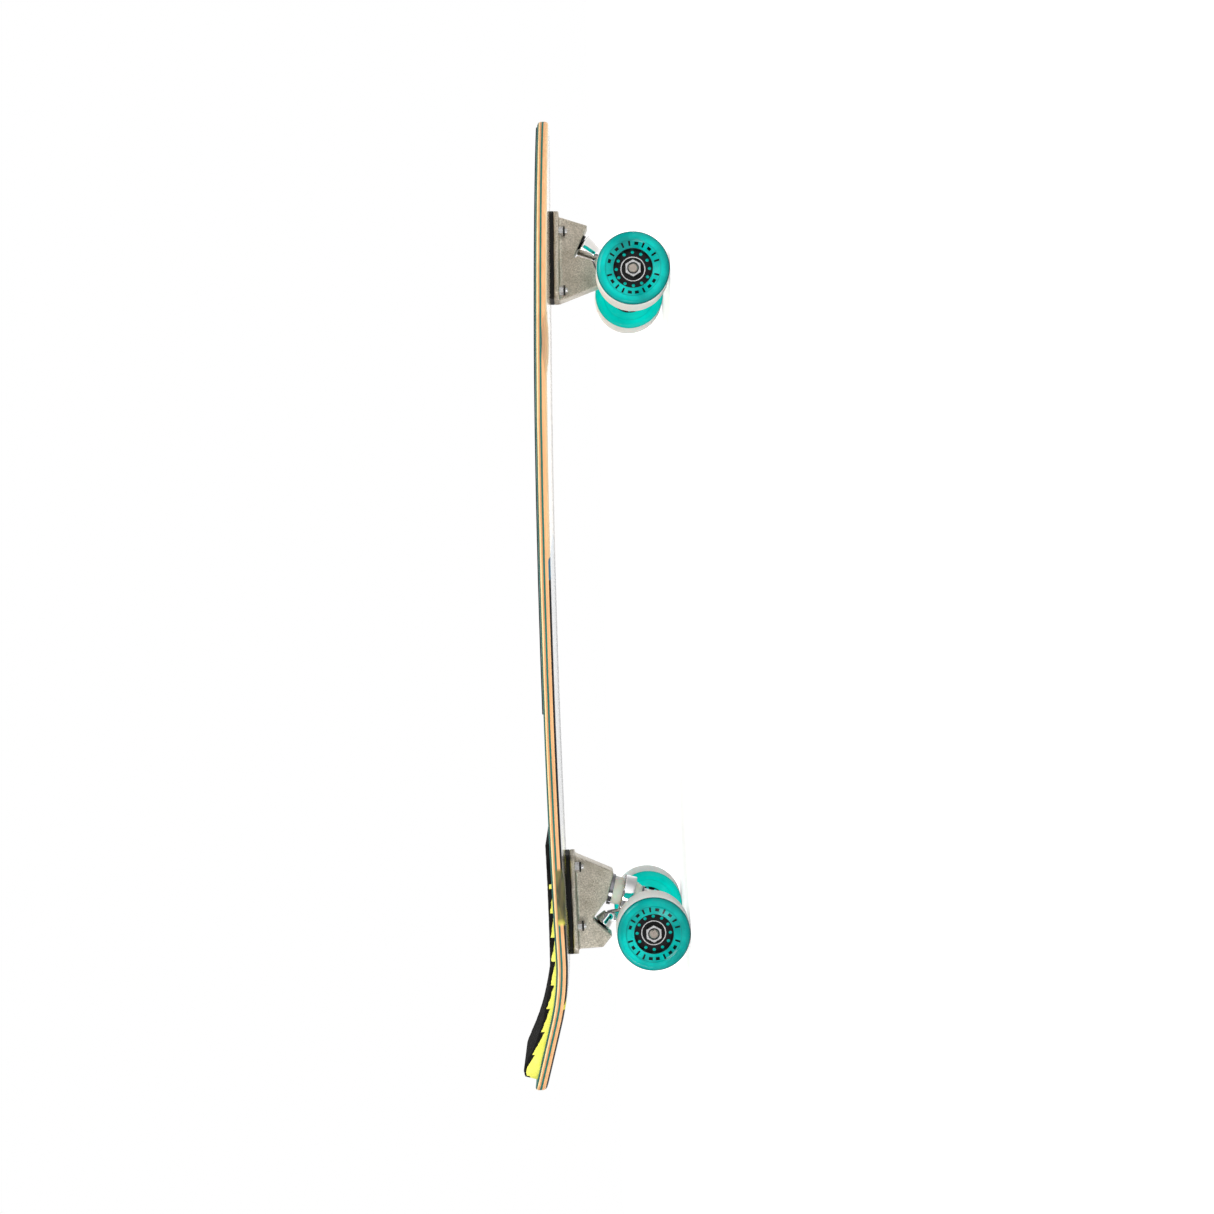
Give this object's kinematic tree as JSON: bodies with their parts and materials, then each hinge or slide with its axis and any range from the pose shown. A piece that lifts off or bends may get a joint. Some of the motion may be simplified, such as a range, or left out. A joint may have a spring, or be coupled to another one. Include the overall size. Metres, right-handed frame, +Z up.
{
  "type": "skateboard",
  "caption": "Surf-style skateboard with a cambered kicktail deck, grip sheet, raised tail pad, sprung steering trucks and soft free-running wheels.",
  "frame": {"origin": "on the ground plane under the middle of the board, midway between the nose and the tail", "axes": "+X to the nose, +Y to the left, +Z up; all wheels stand on Z = 0"},
  "size_m": [0.885, 0.245, 0.1525],
  "materials": {
    "maple_deck": "satin lacquer",
    "grip": "abrasive sheet",
    "pad_foam": "matte foam",
    "pad_tread": "grooved matte foam",
    "wheel_urethane": "translucent cast urethane",
    "core_plastic": "moulded nylon",
    "riser_rubber": "moulded",
    "cast_alloy": "tumbled casting",
    "chrome_alloy": "polished",
    "cup_urethane": "moulded",
    "bushing_urethane": "moulded",
    "shield_rubber": "moulded",
    "dark_chrome": "dark plated",
    "plated_steel": "zinc plated"
  },
  "bodies": {
    "board": {"deck": "maple_deck", "grip_sheet": "grip", "tail_pad_base": "pad_foam", "tail_pad_tread": "pad_tread", "front_deck_bolts": "plated_steel", "front_deck_nuts": "plated_steel", "front_riser": "riser_rubber", "front_baseplate": "cast_alloy", "front_pivot_cup": "cup_urethane", "front_kingpin": "plated_steel", "front_kingpin_nut": "plated_steel", "front_bushing_board": "bushing_urethane", "front_bushing_road": "bushing_urethane", "front_washer_board": "dark_chrome", "front_washer_road": "dark_chrome", "rear_deck_bolts": "plated_steel", "rear_deck_nuts": "plated_steel", "rear_riser": "riser_rubber", "rear_baseplate": "cast_alloy", "rear_pivot_cup": "cup_urethane", "rear_kingpin": "plated_steel", "rear_kingpin_nut": "plated_steel", "rear_bushing_board": "bushing_urethane", "rear_bushing_road": "bushing_urethane", "rear_washer_board": "dark_chrome", "rear_washer_road": "dark_chrome"},
    "front_hanger_set": {"front_hanger": "chrome_alloy", "front_axle": "plated_steel", "front_bearing_inner_rings": "plated_steel", "front_spacers": "plated_steel", "front_speed_washers": "plated_steel", "front_axle_nuts": "plated_steel"},
    "front_left_wheel": {"front_left_tyre": "wheel_urethane", "front_left_core": "core_plastic", "front_left_bearing_outer_rings": "plated_steel", "front_left_bearing_balls": "plated_steel", "front_left_bearing_shields": "shield_rubber"},
    "front_right_wheel": {"front_right_tyre": "wheel_urethane", "front_right_core": "core_plastic", "front_right_bearing_outer_rings": "plated_steel", "front_right_bearing_balls": "plated_steel", "front_right_bearing_shields": "shield_rubber"},
    "rear_hanger_set": {"rear_hanger": "chrome_alloy", "rear_axle": "plated_steel", "rear_bearing_inner_rings": "plated_steel", "rear_spacers": "plated_steel", "rear_speed_washers": "plated_steel", "rear_axle_nuts": "plated_steel"},
    "rear_left_wheel": {"rear_left_tyre": "wheel_urethane", "rear_left_core": "core_plastic", "rear_left_bearing_outer_rings": "plated_steel", "rear_left_bearing_balls": "plated_steel", "rear_left_bearing_shields": "shield_rubber"},
    "rear_right_wheel": {"rear_right_tyre": "wheel_urethane", "rear_right_core": "core_plastic", "rear_right_bearing_outer_rings": "plated_steel", "rear_right_bearing_balls": "plated_steel", "rear_right_bearing_shields": "shield_rubber"}
  },
  "joints": [
    {"name": "front_steer", "type": "hinge", "parent": "board", "child": "front_hanger_set", "pos_m": [0.33068, 0, 0.07926], "axis": [0.5736, 0, 0.8192], "range_deg": [-30, 30], "stiffness_Nm_per_rad": 60, "deforming": ["front_bushing_board", "front_bushing_road"]},
    {"name": "rear_steer", "type": "hinge", "parent": "board", "child": "rear_hanger_set", "pos_m": [-0.30064, 0, 0.07836], "axis": [0.7431, 0, -0.6691], "range_deg": [-24, 24], "stiffness_Nm_per_rad": 60, "deforming": ["rear_bushing_board", "rear_bushing_road"]},
    {"name": "front_left_wheel_spin", "type": "hinge", "parent": "front_hanger_set", "child": "front_left_wheel", "pos_m": [0.2901, 0.0895, 0.0325], "axis": [0, 1, 0], "continuous": true},
    {"name": "front_right_wheel_spin", "type": "hinge", "parent": "front_hanger_set", "child": "front_right_wheel", "pos_m": [0.2901, -0.0895, 0.0325], "axis": [0, 1, 0], "continuous": true},
    {"name": "rear_left_wheel_spin", "type": "hinge", "parent": "rear_hanger_set", "child": "rear_left_wheel", "pos_m": [-0.2934, 0.0895, 0.0325], "axis": [0, 1, 0], "continuous": true},
    {"name": "rear_right_wheel_spin", "type": "hinge", "parent": "rear_hanger_set", "child": "rear_right_wheel", "pos_m": [-0.2934, -0.0895, 0.0325], "axis": [0, 1, 0], "continuous": true}
  ]
}
